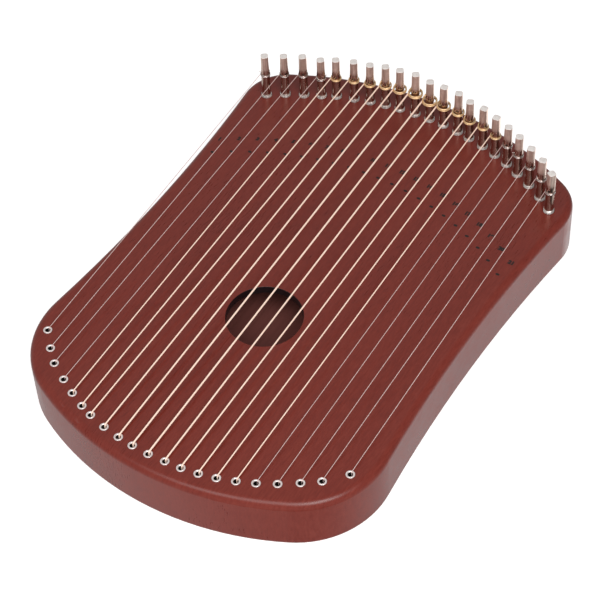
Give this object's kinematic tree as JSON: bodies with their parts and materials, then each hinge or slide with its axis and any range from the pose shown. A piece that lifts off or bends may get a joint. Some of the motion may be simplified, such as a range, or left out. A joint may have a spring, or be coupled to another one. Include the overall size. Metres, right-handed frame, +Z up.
{
  "type": "lyre harp",
  "caption": "Hollow waisted wooden lyre harp with a round sound hole and near-parallel strings running from small eyelets to a curved row of square-headed tuning pins.",
  "frame": {"origin": "centre of the flat back face, under the middle of the body", "axes": "+Z up out of the soundboard, +Y along the strings towards the tuning pins, +X to the right"},
  "size_m": [0.269, 0.3914, 0.0814],
  "materials": {
    "mahogany": "satin lacquered mahogany",
    "block_hardwood": "bare planed maple",
    "brace_wood": "bare spruce",
    "nickel": "bright nickel plate",
    "plain_wire": "drawn music wire",
    "bronze_winding": "bronze wrap wire",
    "brass": "turned brass"
  },
  "bodies": {
    "soundbox": {"soundboard": "mahogany", "back_plate": "mahogany", "side_rim": "mahogany", "pin_block": "block_hardwood", "hitch_block": "block_hardwood", "soundboard_brace_upper": "brace_wood", "soundboard_brace_middle": "brace_wood", "soundboard_brace_lower": "brace_wood", "back_brace_upper": "brace_wood", "back_brace_lower": "brace_wood", "string_eyelets": "nickel", "back_ferrules": "nickel", "string_ball_ends": "brass", "plain_strings_left": "plain_wire", "wound_strings": "bronze_winding", "plain_strings_right": "plain_wire"},
    "pin_01": {"tuning_pin_01": "nickel", "string_turns_01": "plain_wire"},
    "pin_02": {"tuning_pin_02": "nickel", "string_turns_02": "plain_wire"},
    "pin_03": {"tuning_pin_03": "nickel", "string_turns_03": "plain_wire"},
    "pin_04": {"tuning_pin_04": "nickel", "string_turns_04": "plain_wire"},
    "pin_05": {"tuning_pin_05": "nickel", "string_turns_05": "bronze_winding"},
    "pin_06": {"tuning_pin_06": "nickel", "string_turns_06": "bronze_winding"},
    "pin_07": {"tuning_pin_07": "nickel", "string_turns_07": "bronze_winding"},
    "pin_08": {"tuning_pin_08": "nickel", "string_turns_08": "bronze_winding"},
    "pin_09": {"tuning_pin_09": "nickel", "string_turns_09": "bronze_winding"},
    "pin_10": {"tuning_pin_10": "nickel", "string_turns_10": "bronze_winding"},
    "pin_11": {"tuning_pin_11": "nickel", "string_turns_11": "bronze_winding"},
    "pin_12": {"tuning_pin_12": "nickel", "string_turns_12": "bronze_winding"},
    "pin_13": {"tuning_pin_13": "nickel", "string_turns_13": "bronze_winding"},
    "pin_14": {"tuning_pin_14": "nickel", "string_turns_14": "bronze_winding"},
    "pin_15": {"tuning_pin_15": "nickel", "string_turns_15": "bronze_winding"},
    "pin_16": {"tuning_pin_16": "nickel", "string_turns_16": "bronze_winding"},
    "pin_17": {"tuning_pin_17": "nickel", "string_turns_17": "plain_wire"},
    "pin_18": {"tuning_pin_18": "nickel", "string_turns_18": "plain_wire"},
    "pin_19": {"tuning_pin_19": "nickel", "string_turns_19": "plain_wire"},
    "pin_20": {"tuning_pin_20": "nickel", "string_turns_20": "plain_wire"},
    "pin_21": {"tuning_pin_21": "nickel", "string_turns_21": "plain_wire"}
  },
  "joints": [
    {"name": "tune_01", "type": "hinge", "parent": "soundbox", "child": "pin_01", "pos_m": [-0.1172, 0.13703, 0.042], "axis": [0, 0, 1], "range_deg": [-45, 1080]},
    {"name": "tune_02", "type": "hinge", "parent": "soundbox", "child": "pin_02", "pos_m": [-0.10535, 0.14458, 0.042], "axis": [0, 0, 1], "range_deg": [-45, 1080]},
    {"name": "tune_03", "type": "hinge", "parent": "soundbox", "child": "pin_03", "pos_m": [-0.0929, 0.15107, 0.042], "axis": [0, 0, 1], "range_deg": [-45, 1080]},
    {"name": "tune_04", "type": "hinge", "parent": "soundbox", "child": "pin_04", "pos_m": [-0.08105, 0.15694, 0.042], "axis": [0, 0, 1], "range_deg": [-45, 1080]},
    {"name": "tune_05", "type": "hinge", "parent": "soundbox", "child": "pin_05", "pos_m": [-0.0709, 0.16187, 0.042], "axis": [0, 0, 1], "range_deg": [-45, 1080]},
    {"name": "tune_06", "type": "hinge", "parent": "soundbox", "child": "pin_06", "pos_m": [-0.05795, 0.16595, 0.042], "axis": [0, 0, 1], "range_deg": [-45, 1080]},
    {"name": "tune_07", "type": "hinge", "parent": "soundbox", "child": "pin_07", "pos_m": [-0.0461, 0.16922, 0.042], "axis": [0, 0, 1], "range_deg": [-45, 1080]},
    {"name": "tune_08", "type": "hinge", "parent": "soundbox", "child": "pin_08", "pos_m": [-0.03425, 0.17172, 0.042], "axis": [0, 0, 1], "range_deg": [-45, 1080]},
    {"name": "tune_09", "type": "hinge", "parent": "soundbox", "child": "pin_09", "pos_m": [-0.0231, 0.17349, 0.042], "axis": [0, 0, 1], "range_deg": [-45, 1080]},
    {"name": "tune_10", "type": "hinge", "parent": "soundbox", "child": "pin_10", "pos_m": [-0.01055, 0.17455, 0.042], "axis": [0, 0, 1], "range_deg": [-45, 1080]},
    {"name": "tune_11", "type": "hinge", "parent": "soundbox", "child": "pin_11", "pos_m": [0.0013, 0.1749, 0.042], "axis": [0, 0, 1], "range_deg": [-45, 1080]},
    {"name": "tune_12", "type": "hinge", "parent": "soundbox", "child": "pin_12", "pos_m": [0.01315, 0.17455, 0.042], "axis": [0, 0, 1], "range_deg": [-45, 1080]},
    {"name": "tune_13", "type": "hinge", "parent": "soundbox", "child": "pin_13", "pos_m": [0.0258, 0.17349, 0.042], "axis": [0, 0, 1], "range_deg": [-45, 1080]},
    {"name": "tune_14", "type": "hinge", "parent": "soundbox", "child": "pin_14", "pos_m": [0.03615, 0.17172, 0.042], "axis": [0, 0, 1], "range_deg": [-45, 1080]},
    {"name": "tune_15", "type": "hinge", "parent": "soundbox", "child": "pin_15", "pos_m": [0.0487, 0.16922, 0.042], "axis": [0, 0, 1], "range_deg": [-45, 1080]},
    {"name": "tune_16", "type": "hinge", "parent": "soundbox", "child": "pin_16", "pos_m": [0.06055, 0.16595, 0.042], "axis": [0, 0, 1], "range_deg": [-45, 1080]},
    {"name": "tune_17", "type": "hinge", "parent": "soundbox", "child": "pin_17", "pos_m": [0.0724, 0.16187, 0.042], "axis": [0, 0, 1], "range_deg": [-45, 1080]},
    {"name": "tune_18", "type": "hinge", "parent": "soundbox", "child": "pin_18", "pos_m": [0.08375, 0.15694, 0.042], "axis": [0, 0, 1], "range_deg": [-45, 1080]},
    {"name": "tune_19", "type": "hinge", "parent": "soundbox", "child": "pin_19", "pos_m": [0.0961, 0.15107, 0.042], "axis": [0, 0, 1], "range_deg": [-45, 1080]},
    {"name": "tune_20", "type": "hinge", "parent": "soundbox", "child": "pin_20", "pos_m": [0.10855, 0.14418, 0.042], "axis": [0, 0, 1], "range_deg": [-45, 1080]},
    {"name": "tune_21", "type": "hinge", "parent": "soundbox", "child": "pin_21", "pos_m": [0.1198, 0.13613, 0.042], "axis": [0, 0, 1], "range_deg": [-45, 1080]}
  ]
}
